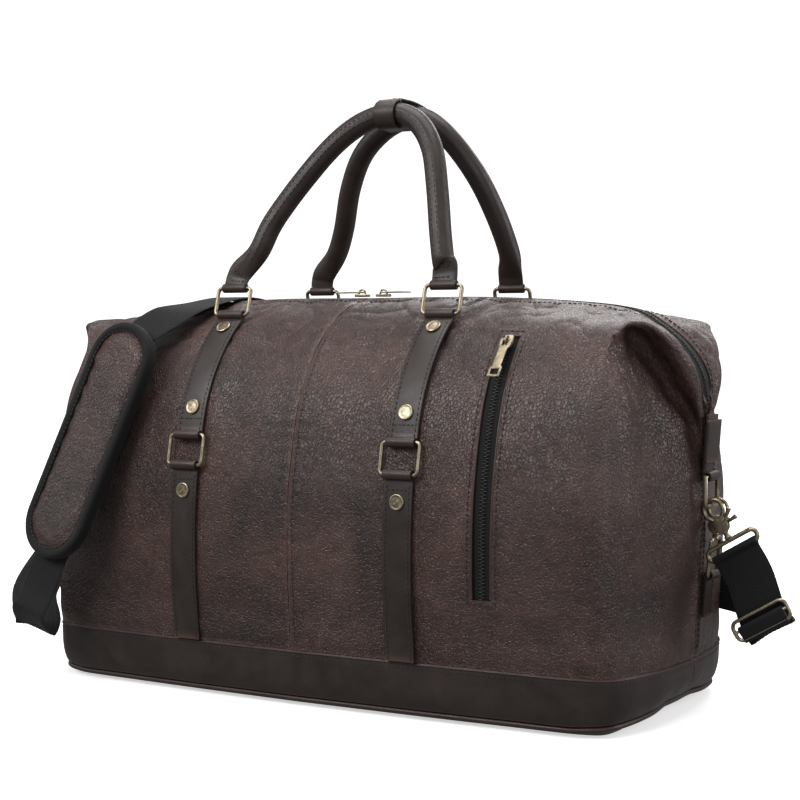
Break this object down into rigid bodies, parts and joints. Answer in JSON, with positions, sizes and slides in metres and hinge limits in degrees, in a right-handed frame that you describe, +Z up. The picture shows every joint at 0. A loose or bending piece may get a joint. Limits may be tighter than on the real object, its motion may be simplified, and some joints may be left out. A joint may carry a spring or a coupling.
{
  "type": "weekender bag",
  "caption": "Soft brown leather-look weekend bag with a zip top, ring-mounted rolled handles, strapped front, zip pocket and a webbing shoulder strap on snap hooks.",
  "frame": {"origin": "centre of the base panel's flat underside, on the floor", "axes": "+X along the length towards the end with the strap adjuster, front face towards -Y, +Z up"},
  "size_m": [0.6956, 0.3119, 0.483],
  "materials": {
    "brown_leather": "creased semi-gloss grain",
    "dark_leather": "smooth satin with edge stitching",
    "black_fabric": "matte twill webbing and zip tape",
    "antique_brass": "brushed antique",
    "grey_board": "matte",
    "black_lining": "matte plain weave"
  },
  "bodies": {
    "bag": {"back_panel_left": "brown_leather", "back_panel_right": "brown_leather", "back_rivet_left": "antique_brass", "back_rivet_right": "antique_brass", "back_strap_left": "dark_leather", "back_strap_right": "dark_leather", "base_band_back": "dark_leather", "base_band_front": "dark_leather", "base_board": "grey_board", "base_panel": "dark_leather", "base_piping": "dark_leather", "d_ring_left": "antique_brass", "d_ring_right": "antique_brass", "end_hook_left_body": "antique_brass", "end_hook_right_body": "antique_brass", "end_strap_left": "dark_leather", "end_strap_right": "dark_leather", "end_tab_left": "dark_leather", "end_tab_right": "dark_leather", "front_lower_ring_left": "antique_brass", "front_lower_ring_right": "antique_brass", "front_panel_left": "brown_leather", "front_panel_right": "brown_leather", "front_rivet_left_1": "antique_brass", "front_rivet_left_2": "antique_brass", "front_rivet_left_3": "antique_brass", "front_rivet_right_1": "antique_brass", "front_rivet_right_2": "antique_brass", "front_rivet_right_3": "antique_brass", "front_strap_lower_left": "dark_leather", "front_strap_lower_right": "dark_leather", "front_strap_upper_left": "dark_leather", "front_strap_upper_right": "dark_leather", "pocket_pouch": "black_lining", "pocket_zip_tape": "black_fabric", "shoulder_webbing": "black_fabric", "strap_adjuster": "antique_brass", "strap_hook_left_body": "antique_brass", "strap_hook_right_body": "antique_brass", "strap_loop_left": "antique_brass", "strap_loop_right": "antique_brass", "top_zip_tape": "black_fabric"},
    "front_rings": {"front_upper_ring_left": "antique_brass", "front_upper_ring_right": "antique_brass"},
    "front_grip": {"front_handle": "dark_leather", "handle_keeper": "dark_leather"},
    "back_rings": {"back_upper_ring_left": "antique_brass", "back_upper_ring_right": "antique_brass"},
    "back_grip": {"back_handle": "dark_leather"},
    "pocket_slider": {"pocket_zip_slider": "antique_brass"},
    "pocket_pull": {"pocket_zip_pull": "antique_brass"},
    "top_left_slider": {"top_zip_left_slider": "antique_brass"},
    "top_left_pull": {"top_zip_left_pull": "antique_brass"},
    "top_right_slider": {"top_zip_right_slider": "antique_brass"},
    "top_right_pull": {"top_zip_right_pull": "antique_brass"},
    "end_left_jaw": {"end_hook_left_jaw": "antique_brass"},
    "end_right_jaw": {"end_hook_right_jaw": "antique_brass"},
    "strap_left_jaw": {"strap_hook_left_jaw": "antique_brass"},
    "strap_right_jaw": {"strap_hook_right_jaw": "antique_brass"},
    "pad": {"shoulder_pad": "brown_leather"}
  },
  "joints": [
    {"name": "front_rings_fold", "type": "hinge", "parent": "bag", "child": "front_rings", "pos_m": [-0.00825, -0.06497, 0.30714], "axis": [1, 0, 0], "range_deg": [0, 60]},
    {"name": "front_handle_fold", "type": "hinge", "parent": "front_rings", "child": "front_grip", "pos_m": [-0.00825, -0.05897, 0.32964], "axis": [1, 0, 0], "range_deg": [0, 60]},
    {"name": "back_rings_fold", "type": "hinge", "parent": "bag", "child": "back_rings", "pos_m": [-0.0025, 0.06533, 0.30693], "axis": [-1, 0, 0], "range_deg": [0, 60]},
    {"name": "back_handle_fold", "type": "hinge", "parent": "back_rings", "child": "back_grip", "pos_m": [-0.0025, 0.05933, 0.32943], "axis": [-1, 0, 0], "range_deg": [0, 60]},
    {"name": "pocket_zip_travel", "type": "hinge", "parent": "bag", "child": "pocket_slider", "pos_m": [0.16, 0.0301, 0.18318], "axis": [1, 0, 0], "range_deg": [0, 24]},
    {"name": "pocket_pull_lift", "type": "hinge", "parent": "pocket_slider", "child": "pocket_pull", "pos_m": [0.16, -0.08657, 0.28735], "axis": [-1, 0, 0], "range_deg": [0, 110]},
    {"name": "top_zip_left_travel", "type": "slide", "parent": "bag", "child": "top_left_slider", "axis": [-1, 0, 0], "range_m": [0, 0.05]},
    {"name": "top_zip_left_pull_lift", "type": "hinge", "parent": "top_left_slider", "child": "top_left_pull", "pos_m": [-0.019, 0, 0.3263], "axis": [0, 1, 0], "range_deg": [0, 105]},
    {"name": "top_zip_right_travel", "type": "slide", "parent": "bag", "child": "top_right_slider", "axis": [1, 0, 0], "range_m": [0, 0.05]},
    {"name": "top_zip_right_pull_lift", "type": "hinge", "parent": "top_right_slider", "child": "top_right_pull", "pos_m": [0.002, 0, 0.3263], "axis": [0, -1, 0], "range_deg": [0, 105]},
    {"name": "end_hook_left_open", "type": "hinge", "parent": "bag", "child": "end_left_jaw", "pos_m": [-0.29215, 0.0054, 0.14573], "axis": [0, -1, 0], "range_deg": [0, 18], "stiffness_Nm_per_rad": 0.02, "springref_deg": -17.19},
    {"name": "end_hook_right_open", "type": "hinge", "parent": "bag", "child": "end_right_jaw", "pos_m": [0.29215, 0.0054, 0.14573], "axis": [0, 1, 0], "range_deg": [0, 18], "stiffness_Nm_per_rad": 0.02, "springref_deg": -17.19},
    {"name": "strap_hook_left_open", "type": "hinge", "parent": "bag", "child": "strap_left_jaw", "pos_m": [-0.30017, -0.0054, 0.14745], "axis": [0, -1, 0], "range_deg": [0, 18], "stiffness_Nm_per_rad": 0.02, "springref_deg": -17.19},
    {"name": "strap_hook_right_open", "type": "hinge", "parent": "bag", "child": "strap_right_jaw", "pos_m": [0.30017, -0.0054, 0.14745], "axis": [0, 1, 0], "range_deg": [0, 18], "stiffness_Nm_per_rad": 0.02, "springref_deg": -17.19},
    {"name": "pad_travel", "type": "slide", "parent": "bag", "child": "pad", "axis": [-0.2696, -0.2546, -0.9287], "range_m": [0, 0.02]}
  ]
}
